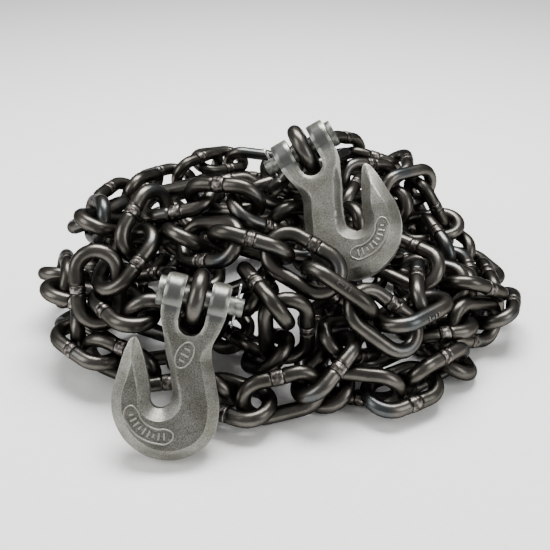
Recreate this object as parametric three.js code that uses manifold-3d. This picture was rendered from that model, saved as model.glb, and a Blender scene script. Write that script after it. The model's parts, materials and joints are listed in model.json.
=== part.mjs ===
// A load binder chain: welded steel chain lying in a heap, with a clevis grab hook on each end.
// Millimetres, +Z up, the floor at z = 0. The origin is the centre of the heap's footprint.
import * as THREE from 'three';
import { mergeVertices } from 'three/addons/utils/BufferGeometryUtils.js';
import Module from 'manifold-3d';

const wasm = await Module();
wasm.setup();

// ---- Driving dimensions -------------------------------------------------------------------------

const WIRE = 10; // diameter of the link wire, 3/8 in
const PITCH = 35; // inside length of a link
const LINK_WIDTH = 34.5; // outside width of a link
const BEND_RADIUS = (LINK_WIDTH - WIRE) / 2; // of the wire's centreline in a crown
const CROWN = (PITCH + WIRE) / 2; // from a link's middle to its crown's centreline
const BAR_END = CROWN - BEND_RADIUS; // from a link's middle to where its straight legs end
const SOLID_RADIUS = 5.15; // of the five-sided tube that stands for the round wire
const CLEARANCE = 0.2; // between two links that touch
const TACK_RADIUS = 1.3; // of the peg that joins two links of one run

const HOOK_HALF_THICKNESS = 9.3;
const HOOK_BEVEL = 4; // down from the face
const HOOK_BEVEL_INSET = 2;
const SLOT_HALF_WIDTH = 7.3; // of the clevis fork
const EAR_OUTER = 17.8; // from the hook's middle to the outside of an ear
const EAR_RADIUS = 11.6; // of an ear about the pin
const CROTCH = -21; // bottom of the clevis slot, from the pin
const HOOK_BOTTOM = -90.5; // bottom of the bowl, from the pin
const PIN_RADIUS = 5.3;
const PIN_END = 26; // from the hook's middle to the pin's tip
const HEAD_RADIUS = 8.3;
const HEAD_THICKNESS = 3.6;
const FIT = 0.35; // running clearance round the pin and beside its head
const COTTER_RADIUS = 1.3;
const COTTER_PLACE = 22; // along the pin

// ---- Where the hooks lie ------------------------------------------------------------------------
// pin is the middle of the clevis pin, up runs from the bowl to the ears, side along the pin.

const FRONT_HOOK = {
  pin: new THREE.Vector3(-43, -134, 76),
  up: new THREE.Vector3(0.225, 0.51, 0.83),
  side: new THREE.Vector3(0.97, -0.06, -0.22),
};
const REAR_HOOK = {
  pin: new THREE.Vector3(18, -39, 129),
  up: new THREE.Vector3(-0.435, 0.64, 0.633),
  side: new THREE.Vector3(-0.88, -0.1, -0.465),
};

// ---- How the chain lies -------------------------------------------------------------------------
// The chain from the front hook to the rear one, as stretches chosen by hand. A stretch of 'links'
// has one point for each link's middle; flat is how far the first of them is turned towards the
// outside of the heap: 1 shows its open face, 0 its edge. A stretch of 'run' has the points that a
// hidden part of the chain passes.

const ROUTE = [
  { run: [[-44, -90, 78], [-52, -54, 62], [-92, -55, 42]] },
  { flat: 0, links: [[-122, -78, 42], [-138, -52, 45]] },
  { run: [[-141, -12, 26], [-130, 42, 12], [-102, 92, 12], [-56, 132, 12], [0, 146, 12],
    [56, 134, 12], [102, 100, 12], [132, 50, 12], [138, 0, 12], [136, -42, 14]] },
  { flat: 1, links: [[129, -78, 20], [101, -90, 20]] },
  { run: [[74, -92, 32], [48, -112, 42]] },
  { flat: 0, links: [[30, -134, 26], [6, -146, 9], [-25, -142, 9]] },
  { run: [[-55, -112, 12]] },
  { flat: 1, links: [[-96, -112, 18], [-113, -96, 28], [-131, -80, 27]] },
  { run: [[-118, -45, 14], [-98, 5, 12], [-76, 62, 18], [-36, 102, 22], [10, 114, 22], [62, 96, 22],
    [98, 40, 18], [98, -30, 12], [116, -85, 10]] },
  { flat: 1, links: [[97, -113, 15], [74, -128, 11], [46, -136, 10]] },
  { run: [[18, -108, 20], [30, -70, 12], [50, -30, 12], [30, 50, 12], [-30, 70, 12],
    [-60, 20, 12], [-45, -35, 12], [-30, -75, 14], [-4, -98, 32]] },
  { flat: 1, links: [[12, -125, 50], [-4, -110, 72]] },
  { run: [[-20, -75, 62], [-55, -75, 45]] },
  { flat: 1, links: [[-68, -111, 46], [-88, -98, 60]] },
  { run: [[-108, -72, 55]] },
  { flat: 1, links: [[-90, -86, 66], [-83, -60, 88], [-62, -48, 98], [-30, -58, 103],
    [-2, -64, 104], [22, -50, 92]] },
  { run: [[45, -28, 74], [72, -32, 54], [102, -52, 42]] },
  { flat: 0, links: [[136, -62, 36], [126, -40, 24], [130, -10, 26], [120, 20, 32]] },
  { run: [[112, 40, 42]] },
  { flat: 1, links: [[118, 54, 50], [99, 42, 66]] },
  { run: [[62, 30, 52], [20, 62, 42], [-30, 58, 45], [-70, 30, 50], [-105, 0, 50]] },
  { flat: 0, links: [[-106, -40, 80], [-122, -28, 70]] },
  { run: [[-128, -5, 62]] },
  { flat: 0, links: [[-112, 28, 67], [-104, 58, 59], [-88, 87, 54], [-62, 108, 54],
    [-48, 128, 55], [-18, 138, 47]] },
  { run: [[15, 116, 52], [30, 85, 62], [0, 55, 78], [-42, 34, 76], [-72, 0, 78], [-40, -30, 78],
    [-52, -60, 72]] },
  { flat: 1, links: [[-42, -84, 90], [-14, -92, 88], [16, -101, 80], [40, -112, 66]] },
  { run: [[60, -112, 55]] },
  { flat: 0, links: [[78, -108, 52], [92, -85, 50]] },
  { run: [[80, -30, 62], [40, -10, 62], [20, 10, 62], [60, 45, 75]] },
  { flat: 0, links: [[95, 72, 68], [74, 90, 70], [54, 75, 80]] },
  { run: [[30, 40, 98], [8, 18, 112]] },
];

// ---- Solids -------------------------------------------------------------------------------------

const steel = (color, roughness) => new THREE.MeshStandardMaterial({ color, roughness, metalness: 1 });
const CHAIN_STEEL = steel(0x47423f, 0.38);
const FORGED_STEEL = steel(0x8b8b86, 0.6);
const PIN_STEEL = steel(0x77786f, 0.5);
const ZINC = steel(0xb9bcb8, 0.3);

function toSolid(geometry) {
  const bare = geometry.clone();
  bare.deleteAttribute('normal');
  bare.deleteAttribute('uv');
  const merged = mergeVertices(bare, 1e-3);
  const vertProperties = new Float32Array(merged.attributes.position.array);
  const triVerts = new Uint32Array(merged.index.array);
  return new wasm.Manifold(new wasm.Mesh({ numProp: 3, vertProperties, triVerts }));
}

function toGeometry(solid) {
  const { vertProperties, triVerts } = solid.getMesh();
  const geometry = new THREE.BufferGeometry();
  geometry.setAttribute('position', new THREE.BufferAttribute(new Float32Array(vertProperties), 3));
  geometry.setIndex(new THREE.BufferAttribute(new Uint32Array(triVerts), 1));
  geometry.computeVertexNormals();
  return geometry;
}

// A cylinder of any number of sides from one point to another.
function rod(from, to, radius, sides) {
  const along = new THREE.Vector3().subVectors(to, from);
  const geometry = new THREE.CylinderGeometry(radius, radius, along.length(), sides);
  const up = new THREE.Vector3(0, 1, 0);
  geometry.applyQuaternion(new THREE.Quaternion().setFromUnitVectors(up, along.clone().normalize()));
  geometry.translate(...along.multiplyScalar(0.5).add(from));
  return geometry;
}

// ---- Hook, pin and cotter, all about the middle of the pin ---------------------------------------
// x runs along the pin, z from the bowl to the ears, y through the hook's thickness.

function hookOutline() {
  const outline = new THREE.Shape();
  outline.moveTo(-9.5, 11.4);
  outline.lineTo(-SLOT_HALF_WIDTH, 9);
  outline.absarc(0, CROTCH + SLOT_HALF_WIDTH, SLOT_HALF_WIDTH, Math.PI, 2 * Math.PI, false);
  outline.lineTo(SLOT_HALF_WIDTH, 9);
  outline.lineTo(9.5, 11.4);
  outline.lineTo(15.5, 11.4);
  outline.lineTo(EAR_OUTER, 8.5);
  outline.lineTo(EAR_OUTER, -8);
  const spline = (points) => outline.splineThru(points.map(([x, z]) => new THREE.Vector2(x, z)));
  spline([[16.6, -15], [14, -25], [20.3, -42.4], [26, -59], [24.6, -75], [14.5, -86],
    [1, HOOK_BOTTOM], [-13, -88.4], [-26, -79], [-33, -64], [-33, -49], [-31.8, -33]]);
  outline.lineTo(-29.6, -28.4);
  outline.lineTo(-26.4, -28.8);
  spline([[-23.9, -33], [-18.2, -44], [-14, -53.5]]);
  outline.absarc(-7.3, -57.3, 6.2, Math.PI * 0.9, Math.PI * 2.1, false);
  spline([[-4.6, -44], [-10.2, -32], [-13, -23], [-16.6, -14]]);
  outline.lineTo(-EAR_OUTER, -8);
  outline.lineTo(-EAR_OUTER, 8.5);
  outline.lineTo(-15.5, 11.4);
  outline.closePath();
  return outline;
}

function hookGeometry() {
  const plate = new THREE.ExtrudeGeometry(hookOutline(), {
    depth: 2 * (HOOK_HALF_THICKNESS - HOOK_BEVEL),
    bevelThickness: HOOK_BEVEL,
    bevelSize: HOOK_BEVEL_INSET,
    bevelOffset: -HOOK_BEVEL_INSET,
    bevelSegments: 1,
    curveSegments: 2,
  });
  plate.translate(0, 0, HOOK_BEVEL - HOOK_HALF_THICKNESS);
  plate.rotateX(Math.PI / 2);
  let hook = toSolid(plate);
  for (const side of [-1, 1]) {
    const inner = new THREE.Vector3(side * (SLOT_HALF_WIDTH + 0.02), 0, 0);
    const outer = new THREE.Vector3(side * (EAR_OUTER + 0.02), 0, 0);
    hook = hook.add(toSolid(rod(inner, outer, EAR_RADIUS, 16)));
  }
  const boreEnd = new THREE.Vector3(EAR_OUTER + 5, 0, 0);
  const bore = rod(boreEnd.clone().negate(), boreEnd, (PIN_RADIUS + FIT) / Math.cos(Math.PI / 12), 12);
  return toGeometry(hook.subtract(toSolid(bore)));
}

function pinGeometry() {
  const head = -EAR_OUTER - FIT;
  const profile = [[0, head - HEAD_THICKNESS], [HEAD_RADIUS - 1, head - HEAD_THICKNESS],
    [HEAD_RADIUS, head - HEAD_THICKNESS + 1], [HEAD_RADIUS, head], [PIN_RADIUS, head],
    [PIN_RADIUS, PIN_END - 1], [PIN_RADIUS - 1, PIN_END], [0, PIN_END]];
  const pin = new THREE.LatheGeometry(profile.map(([r, along]) => new THREE.Vector2(r, along)), 12);
  pin.rotateZ(-Math.PI / 2);
  const top = new THREE.Vector3(COTTER_PLACE, 0, PIN_RADIUS + 2);
  const bottom = new THREE.Vector3(COTTER_PLACE, 0, -PIN_RADIUS - 2);
  return toGeometry(toSolid(pin).subtract(toSolid(rod(bottom, top, COTTER_RADIUS + FIT, 6))));
}

function cotterGeometry() {
  const route = [[0, 6.4, -10.6], [0, 3.4, -9.2], [0, 0.7, -7.4], [0, 0, -5.4], [0, 0, 5.4],
    [0, 1.4, 8.2], [0, 2.7, 10.6], [0, 0.9, 12.8], [0, -1.7, 12.2], [0, -2.5, 9.9]];
  const path = new THREE.CatmullRomCurve3(route.map(([x, y, z]) =>
    new THREE.Vector3(COTTER_PLACE + x, y, z)), false, 'catmullrom', 0.5);
  const section = new THREE.Shape().absarc(0, 0, COTTER_RADIUS, 0, 2 * Math.PI, false);
  return new THREE.ExtrudeGeometry(section, { extrudePath: path, steps: 13, curveSegments: 3 });
}

// The hook's own axes in the heap, with side squared up to up.
function hookFrame({ pin, up, side }) {
  const z = up.clone().normalize();
  const y = new THREE.Vector3().crossVectors(z, side).normalize();
  const x = new THREE.Vector3().crossVectors(y, z);
  return new THREE.Matrix4().makeBasis(x, y, z).setPosition(pin);
}

// ---- Settling the chain -------------------------------------------------------------------------

const GYRATION = 18; // a link's radius of gyration, roughly the same about all its axes
const NEAR = 70; // links further apart than this can't touch
const TOUCH = 2 * SOLID_RADIUS + CLEARANCE; // between the centrelines of two wires in contact
const HEAP_CORE = new THREE.Vector3(0, -20, 15);

// A link's centreline in its own frame, z along it and y square to its face: two crowns of four
// chords each, joined by the two legs.
function centreline() {
  const points = [];
  const radius = BEND_RADIUS * 1.02;
  for (const end of [1, -1]) {
    for (let k = 0; k <= 4; k++) {
      const angle = Math.PI * k / 4;
      points.push(new THREE.Vector3(end * radius * Math.cos(angle), 0,
        end * (BAR_END + radius * Math.sin(angle))));
    }
  }
  return points;
}

const LINK_CENTRELINE = centreline();

class Link {
  constructor(place, axis, normal) {
    this.place = place.clone();
    const z = axis.clone().normalize();
    const x = new THREE.Vector3().crossVectors(normal, z).normalize();
    const y = new THREE.Vector3().crossVectors(z, x);
    this.turn = new THREE.Quaternion().setFromRotationMatrix(new THREE.Matrix4().makeBasis(x, y, z));
    this.anchor = null;
    this.stations = LINK_CENTRELINE.map((point) => point.clone());
    this.update();
  }

  update() {
    this.stations.forEach((station, k) => {
      station.copy(LINK_CENTRELINE[k]).applyQuaternion(this.turn).add(this.place);
    });
  }

  local(point, out) {
    return out.copy(point).sub(this.place).applyQuaternion(UNTURN.copy(this.turn).conjugate());
  }

  world(x, y, z, out) {
    return out.set(x, y, z).applyQuaternion(this.turn).add(this.place);
  }

  // How easily the link gives way when it is pushed at a point.
  give(point, direction) {
    ARM.copy(point).sub(this.place).cross(direction);
    return 1 + ARM.lengthSq() / GYRATION ** 2;
  }

  push(point, direction, amount) {
    ARM.copy(point).sub(this.place).cross(direction);
    this.place.addScaledVector(direction, amount);
    this.spin(ARM.multiplyScalar(amount / GYRATION ** 2));
  }

  spin(vector) {
    SMALL_TURN.set(vector.x / 2, vector.y / 2, vector.z / 2, 1).normalize();
    this.turn.premultiply(SMALL_TURN).normalize();
    this.update();
  }
}

const ARM = new THREE.Vector3();
const UNTURN = new THREE.Quaternion();
const SMALL_TURN = new THREE.Quaternion();

// The nearest points of two segments, written into onA and onB; returns their distance.
const SPAN_A = new THREE.Vector3();
const SPAN_B = new THREE.Vector3();
const BETWEEN = new THREE.Vector3();
function nearest(a0, a1, b0, b1, onA, onB) {
  SPAN_A.subVectors(a1, a0);
  SPAN_B.subVectors(b1, b0);
  BETWEEN.subVectors(a0, b0);
  const a = SPAN_A.lengthSq();
  const e = SPAN_B.lengthSq();
  const b = SPAN_A.dot(SPAN_B);
  const c = SPAN_A.dot(BETWEEN);
  const f = SPAN_B.dot(BETWEEN);
  const denominator = a * e - b * b;
  let s = denominator > 1e-9 ? THREE.MathUtils.clamp((b * f - c * e) / denominator, 0, 1) : 0.5;
  let t = (b * s + f) / e;
  if (t < 0 || t > 1) {
    t = THREE.MathUtils.clamp(t, 0, 1);
    s = THREE.MathUtils.clamp((b * t - c) / a, 0, 1);
  }
  onA.copy(a0).addScaledVector(SPAN_A, s);
  onB.copy(b0).addScaledVector(SPAN_B, t);
  return onA.distanceTo(onB);
}

// Whether link a's wire passes through link b's opening an odd number of times.
const BEFORE = new THREE.Vector3();
const AFTER = new THREE.Vector3();
function threaded(a, b) {
  let crossings = 0;
  b.local(a.stations[a.stations.length - 1], BEFORE);
  for (const station of a.stations) {
    b.local(station, AFTER);
    if (BEFORE.y * AFTER.y < 0) {
      const t = BEFORE.y / (BEFORE.y - AFTER.y);
      const x = BEFORE.x + t * (AFTER.x - BEFORE.x);
      const z = BEFORE.z + t * (AFTER.z - BEFORE.z);
      const beyond = Math.max(Math.abs(z) - BAR_END, 0);
      if (Math.hypot(x, beyond) < BEND_RADIUS) crossings++;
    }
    BEFORE.copy(AFTER);
  }
  return crossings % 2 === 1;
}

const ON_A = new THREE.Vector3();
const ON_B = new THREE.Vector3();
const PUSH = new THREE.Vector3();

// Pushes two links apart wherever their wires come too close.
function separate(a, b) {
  const count = a.stations.length;
  for (let i = 0; i < count; i++) {
    const a0 = a.stations[i];
    const a1 = a.stations[(i + 1) % count];
    if (a0.distanceToSquared(b.place) > NEAR ** 2) continue;
    for (let j = 0; j < count; j++) {
      const b0 = b.stations[j];
      const b1 = b.stations[(j + 1) % count];
      if (Math.abs(a0.x + a1.x - b0.x - b1.x) > 62 || Math.abs(a0.y + a1.y - b0.y - b1.y) > 62) continue;
      const distance = nearest(a0, a1, b0, b1, ON_A, ON_B);
      if (distance >= TOUCH || distance < 1e-6) continue;
      PUSH.subVectors(ON_A, ON_B).divideScalar(distance);
      const amount = (TOUCH - distance) / (a.give(ON_A, PUSH) + b.give(ON_B, PUSH));
      a.push(ON_A, PUSH, amount);
      b.push(ON_B, PUSH, -amount);
    }
  }
}

// Pulls a point of one link onto a point of another, or of the world when b is null.
function join(a, zA, b, pointOrZ, slack, share) {
  a.world(0, 0, zA, ON_A);
  if (b) b.world(0, 0, pointOrZ, ON_B);
  else ON_B.copy(pointOrZ);
  const distance = ON_A.distanceTo(ON_B);
  if (distance <= slack) return;
  PUSH.subVectors(ON_B, ON_A).divideScalar(distance);
  const give = a.give(ON_A, PUSH) + (b ? b.give(ON_B, PUSH) : 0);
  const amount = share * (distance - slack) / give;
  a.push(ON_A, PUSH, amount);
  if (b) b.push(ON_B, PUSH, -amount);
}

// Turns a link part of the way so that its own direction 'from' points along 'to', either way round.
const OWN = new THREE.Vector3();
function align(link, from, to, share) {
  OWN.copy(from).applyQuaternion(link.turn);
  const sign = OWN.dot(to) < 0 ? -1 : 1;
  link.spin(OWN.cross(to).multiplyScalar(sign * share));
}

// Turns two neighbouring links a little towards being a quarter turn apart.
const ALONG = new THREE.Vector3(0, 0, 1);
const FACE = new THREE.Vector3(0, 1, 0);
const OTHER_FACE = new THREE.Vector3();
function crossFaces(a, b) {
  for (const [link, other] of [[a, b], [b, a]]) {
    OTHER_FACE.copy(FACE).applyQuaternion(other.turn);
    OWN.copy(ALONG).applyQuaternion(link.turn);
    OTHER_FACE.cross(OWN).normalize();
    align(link, FACE, OTHER_FACE, 0.1);
  }
}

const UPWARD = new THREE.Vector3(0, 0, 1);

function keepAboveFloor(link) {
  for (const station of link.stations) {
    const depth = SOLID_RADIUS + 0.05 - station.z;
    if (depth > 0) link.push(station, UPWARD, depth / link.give(station, UPWARD));
  }
}

// What the chain can't enter, as fat lines in a hook's own frame: [x, z, x, z, radius].
const HOOK_BARS = [
  [-11.5, 0, -11.5, -16, 11.8], [11.5, 0, 11.5, -16, 11.8], [-25, 0, 27, 0, 8.8],
  [22, -10, 22, 11, 6.5], [-2, -22, -1, -40, 12], [4, -24, 8, -45, 12], [6, -40, 12, -62, 13.5],
  [15, -56, 14, -72, 13.5], [10, -72, -8, -77, 14], [-8, -77, -20, -67, 14],
  [-20, -67, -23, -52, 12.5], [-23, -52, -29, -32, 8],
];

function hookBars(frame) {
  return HOOK_BARS.map(([x0, z0, x1, z1, radius]) => ({
    from: new THREE.Vector3(x0, 0, z0).applyMatrix4(frame),
    to: new THREE.Vector3(x1, 0, z1).applyMatrix4(frame),
    radius,
  }));
}

function keepClear(link, bar) {
  const reach = bar.radius + SOLID_RADIUS + CLEARANCE;
  link.stations.forEach((station, i) => {
    const next = link.stations[(i + 1) % link.stations.length];
    const distance = nearest(station, next, bar.from, bar.to, ON_A, ON_B);
    if (distance >= reach || distance < 1e-6) return;
    PUSH.subVectors(ON_A, ON_B).divideScalar(distance);
    link.push(ON_A, PUSH, (reach - distance) / link.give(ON_A, PUSH));
  });
}

// Keeps an end link on its hook's pin and between the ears.
function holdInClevis(link, hook) {
  join(link, hook.pinHeight, null, hook.pin, 0, 1);
  align(link, FACE, hook.side, 0.2);
  for (const station of link.stations) {
    PUSH.subVectors(station, hook.pin);
    const across = PUSH.dot(hook.side);
    if (PUSH.lengthSq() - across ** 2 > 19 ** 2) continue;
    const over = Math.abs(across) - (SLOT_HALF_WIDTH - SOLID_RADIUS - CLEARANCE);
    if (over <= 0) continue;
    PUSH.copy(hook.side).multiplyScalar(-Math.sign(across));
    link.push(station, PUSH, over / link.give(station, PUSH));
  }
}

// The links before they settle, placed along the route. Each is turned a quarter from the last,
// and a hidden run takes up whatever turn its two ends leave between them.
function layOut(firstPlace, lastPlace) {
  const places = [{ at: firstPlace, roll: 0 }];
  let path = [];
  const fill = (end) => {
    const points = [places[places.length - 1].at, ...path, end.at];
    const curve = new THREE.CatmullRomCurve3(points, false, 'centripetal');
    const gaps = Math.ceil(curve.getLength() / (PITCH - 1));
    const start = places[places.length - 1].roll;
    const miss = (end.roll - start - 90 * gaps) % 180;
    const rest = miss > 90 ? miss - 180 : miss < -90 ? miss + 180 : miss;
    for (let k = 1; k < gaps; k++) {
      places.push({ at: curve.getPointAt(k / gaps), roll: start + (90 + rest / gaps) * k });
    }
    places.push(end);
    path = [];
  };
  for (const stretch of ROUTE) {
    if (stretch.run) {
      path.push(...stretch.run.map((point) => new THREE.Vector3(...point)));
      continue;
    }
    stretch.links.forEach((point, k) => {
      const end = { at: new THREE.Vector3(...point), roll: 90 * (1 - stretch.flat + k), seen: true };
      if (k === 0) fill(end);
      else places.push(end);
    });
  }
  fill({ at: lastPlace, roll: 0 });
  return places.map(({ at, roll, seen }, k) => {
    const before = places[Math.max(k - 1, 0)].at;
    const after = places[Math.min(k + 1, places.length - 1)].at;
    const axis = new THREE.Vector3().subVectors(after, before).normalize();
    const outward = new THREE.Vector3().subVectors(at, HEAP_CORE);
    outward.addScaledVector(axis, -outward.dot(axis)).normalize();
    const normal = outward.applyAxisAngle(axis, THREE.MathUtils.degToRad(roll));
    const link = new Link(at, axis, normal);
    if (seen) link.anchor = { at: at.clone(), axis, normal };
    return link;
  });
}

const STEPS = 1400;
const FREE_STEPS = 300; // at the end, with nothing but contact
const SINK = 0.03; // how far a hidden link drops in a step

function settle(links, hooks) {
  const bars = hooks.flatMap((hook) => hookBars(hook.frame));
  let pairs = [];
  for (let step = 0; step < STEPS; step++) {
    const hold = Math.max(1 - step / (STEPS - FREE_STEPS), 0);
    if (step % 5 === 0) {
      pairs = [];
      for (let i = 0; i < links.length; i++) {
        for (let j = i + 1; j < links.length; j++) {
          if (links[i].place.distanceToSquared(links[j].place) < NEAR ** 2) pairs.push([i, j]);
        }
      }
    }
    for (const [i, j] of pairs) {
      const a = links[i];
      const b = links[j];
      const linked = threaded(a, b);
      if (j === i + 1 && !linked) {
        join(a, CROWN, b, WIRE - CROWN, 2, 0.5);
        join(b, -CROWN, a, CROWN - WIRE, 2, 0.5);
        crossFaces(a, b);
      } else if (j > i + 1 && linked) {
        PUSH.subVectors(a.place, b.place).normalize();
        a.place.addScaledVector(PUSH, 0.7);
        b.place.addScaledVector(PUSH, -0.7);
        a.update();
        b.update();
      } else {
        separate(a, b);
      }
    }
    links.forEach((link, k) => {
      if (hold > 0) {
        if (link.anchor) {
          link.place.lerp(link.anchor.at, 0.05 * hold);
          align(link, ALONG, link.anchor.axis, 0.05 * hold);
          align(link, FACE, link.anchor.normal, 0.05 * hold);
        } else {
          link.place.z -= SINK * hold;
          link.update();
        }
      }
      if (k > 0 && k < links.length - 1) bars.forEach((bar) => keepClear(link, bar));
      keepAboveFloor(link);
    });
    holdInClevis(links[0], hooks[0]);
    holdInClevis(links[links.length - 1], hooks[1]);
  }
}

// ---- The chain's solids -------------------------------------------------------------------------

const TUBE_SIDES = 5;

// A link as a closed tube of flat facets round its centreline.
function linkGeometry(link) {
  const vertices = [];
  const triangles = [];
  const count = link.stations.length;
  const face = FACE.clone().applyQuaternion(link.turn);
  link.stations.forEach((station, i) => {
    const back = new THREE.Vector3().subVectors(station, link.stations[(i + count - 1) % count]).normalize();
    const ahead = new THREE.Vector3().subVectors(link.stations[(i + 1) % count], station).normalize();
    const outward = back.add(ahead).normalize().cross(face);
    for (let k = 0; k < TUBE_SIDES; k++) {
      const angle = 2 * Math.PI * k / TUBE_SIDES;
      const corner = station.clone();
      corner.addScaledVector(outward, SOLID_RADIUS * Math.cos(angle));
      corner.addScaledVector(face, SOLID_RADIUS * Math.sin(angle));
      vertices.push(...corner.toArray());
      const here = i * TUBE_SIDES + k;
      const beside = i * TUBE_SIDES + (k + 1) % TUBE_SIDES;
      const next = ((i + 1) % count) * TUBE_SIDES + k;
      const nextBeside = ((i + 1) % count) * TUBE_SIDES + (k + 1) % TUBE_SIDES;
      triangles.push(here, next, beside, beside, next, nextBeside);
    }
  });
  const geometry = new THREE.BufferGeometry();
  geometry.setAttribute('position', new THREE.Float32BufferAttribute(vertices, 3));
  geometry.setIndex(triangles);
  geometry.computeVertexNormals();
  return geometry;
}

// A peg between two neighbouring links where their wires come closest.
function tack(a, b) {
  let least = Infinity;
  const from = new THREE.Vector3();
  const to = new THREE.Vector3();
  const count = a.stations.length;
  for (let i = 0; i < count; i++) {
    for (let j = 0; j < count; j++) {
      const distance = nearest(a.stations[i], a.stations[(i + 1) % count],
        b.stations[j], b.stations[(j + 1) % count], ON_A, ON_B);
      if (distance < least) {
        least = distance;
        from.copy(ON_A);
        to.copy(ON_B);
      }
    }
  }
  return rod(from, to, TACK_RADIUS, 3);
}

function runGeometry(links) {
  let run = toSolid(linkGeometry(links[0]));
  for (let k = 1; k < links.length; k++) {
    run = run.add(toSolid(linkGeometry(links[k]))).add(toSolid(tack(links[k - 1], links[k])));
  }
  return toGeometry(run);
}

// ---- Assembly -----------------------------------------------------------------------------------

const END_LINKS = 5; // single links at each end of the chain
const RUNS = 44; // the rest, in runs of two or three links

const heap = new THREE.Group();

function addNode(name, geometry, material, frame) {
  const mesh = new THREE.Mesh(geometry, material);
  mesh.name = name;
  if (frame) frame.decompose(mesh.position, mesh.quaternion, mesh.scale);
  heap.add(mesh);
}

const HOOK = hookGeometry();
const PIN = pinGeometry();
const COTTER = cotterGeometry();

// The front hook's bowl stands on the floor.
const standing = HOOK.clone().applyMatrix4(hookFrame(FRONT_HOOK));
standing.computeBoundingBox();
FRONT_HOOK.pin.z -= standing.boundingBox.min.z;

const PIN_TO_MIDDLE = CROWN - PIN_RADIUS - SOLID_RADIUS - CLEARANCE; // of an end link
const hooks = [[FRONT_HOOK, -1, 45], [REAR_HOOK, 1, 130]].map(([hook, sense, lean]) => {
  const frame = hookFrame(hook);
  const side = new THREE.Vector3();
  const through = new THREE.Vector3();
  const up = new THREE.Vector3();
  frame.extractBasis(side, through, up);
  const angle = THREE.MathUtils.degToRad(lean);
  const toChain = up.multiplyScalar(Math.cos(angle)).addScaledVector(through, Math.sin(angle));
  const endLink = toChain.multiplyScalar(PIN_TO_MIDDLE).add(hook.pin);
  return { pin: hook.pin, frame, side, pinHeight: sense * PIN_TO_MIDDLE, endLink };
});

const links = layOut(hooks[0].endLink, hooks[1].endLink);
settle(links, hooks);

['front', 'rear'].forEach((end, k) => {
  addNode(`${end}_hook`, HOOK, FORGED_STEEL, hooks[k].frame);
  addNode(`${end}_clevis_pin`, PIN, PIN_STEEL, hooks[k].frame);
  addNode(`${end}_cotter_pin`, COTTER, ZINC, hooks[k].frame);
});
for (let k = 0; k < END_LINKS; k++) {
  addNode(`front_link_${k + 1}`, linkGeometry(links[k]), CHAIN_STEEL);
  addNode(`rear_link_${k + 1}`, linkGeometry(links[links.length - 1 - k]), CHAIN_STEEL);
}
const rest = links.slice(END_LINKS, links.length - END_LINKS);
for (let k = 0; k < RUNS; k++) {
  const run = rest.slice(Math.round(k * rest.length / RUNS), Math.round((k + 1) * rest.length / RUNS));
  addNode(`chain_run_${String(k + 1).padStart(2, '0')}`, runGeometry(run), CHAIN_STEEL);
}

const bounds = new THREE.Box3().setFromObject(heap, true);
heap.position.set(-(bounds.min.x + bounds.max.x) / 2, -(bounds.min.y + bounds.max.y) / 2, -bounds.min.z);

export default heap;
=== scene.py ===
# A load binder chain: a heap of welded steel chain with a clevis grab hook pinned to each end.
# Everything is in metres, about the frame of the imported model. MM turns millimetres into metres.
import bpy
import bmesh
import json
import math
import random
import numpy as np
from mathutils import Matrix, Vector
from mathutils.geometry import delaunay_2d_cdt


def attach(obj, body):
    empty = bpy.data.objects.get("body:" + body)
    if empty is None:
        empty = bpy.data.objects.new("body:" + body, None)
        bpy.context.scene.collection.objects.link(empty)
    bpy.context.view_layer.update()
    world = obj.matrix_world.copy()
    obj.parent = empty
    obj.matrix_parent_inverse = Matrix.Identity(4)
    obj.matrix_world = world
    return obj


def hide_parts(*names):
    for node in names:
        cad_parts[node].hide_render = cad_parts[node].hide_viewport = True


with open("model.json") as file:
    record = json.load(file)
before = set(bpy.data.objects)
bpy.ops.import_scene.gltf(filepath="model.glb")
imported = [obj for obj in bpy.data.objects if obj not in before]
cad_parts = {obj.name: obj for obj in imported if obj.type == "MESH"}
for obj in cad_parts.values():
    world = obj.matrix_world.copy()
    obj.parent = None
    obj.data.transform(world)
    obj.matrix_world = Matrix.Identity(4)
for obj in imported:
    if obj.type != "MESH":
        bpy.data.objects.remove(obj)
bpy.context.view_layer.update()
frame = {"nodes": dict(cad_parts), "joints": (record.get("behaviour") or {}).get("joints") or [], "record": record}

MM = 0.001

# Chain: 3/8 in wire, the same sizes as the model's
WIRE = 10.0 * MM
PITCH = 35.0 * MM
LINK_WIDTH = 34.5 * MM
BEND_RADIUS = (LINK_WIDTH - WIRE) / 2
BAR_END = (PITCH + WIRE) / 2 - BEND_RADIUS
LINK_SIDES = 20  # facets round the wire
CROWN_STEPS = 14  # rings round each crown
PLAY = 0.3 * MM  # the fine links are this much slimmer all round, the room that the end links rock in

# Hook, about the middle of its pin: x along the pin, z from the bowl to the ears, y through it
HOOK_HALF_THICKNESS = 9.3 * MM
EAR_RADIUS = 11.6 * MM
EAR_OUTER = 17.8 * MM
BORE_RADIUS = 5.65 * MM
PIN_RADIUS = 5.3 * MM
PIN_SIDES = 48
PIN_END = 26.0 * MM
HEAD_RADIUS = 8.3 * MM
HEAD_SIDES = 64
HEAD_THICKNESS = 3.6 * MM
HEAD_GAP = 0.35 * MM
COTTER_PLACE = 22.0 * MM
COTTER_WIRE = 0.68 * MM
COTTER_HOLE = 1.65 * MM


# ---- Camera ---------------------------------------------------------------------------------------

CAMERA_ELEVATION = math.radians(30)
CAMERA_PLACE = (-3.2 * MM, -498 * MM, 311 * MM)
SENSOR = 36.0
LENS = 52.36


def place_camera():
    data = bpy.data.cameras.new("camera")
    data.sensor_width = SENSOR
    data.lens = LENS
    data.clip_start = 0.01
    camera = bpy.data.objects.new("camera", data)
    bpy.context.collection.objects.link(camera)
    camera.location = CAMERA_PLACE
    camera.rotation_euler = (math.pi / 2 - CAMERA_ELEVATION, 0, 0)
    bpy.context.scene.camera = camera


# ---- Small tools ----------------------------------------------------------------------------------

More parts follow.
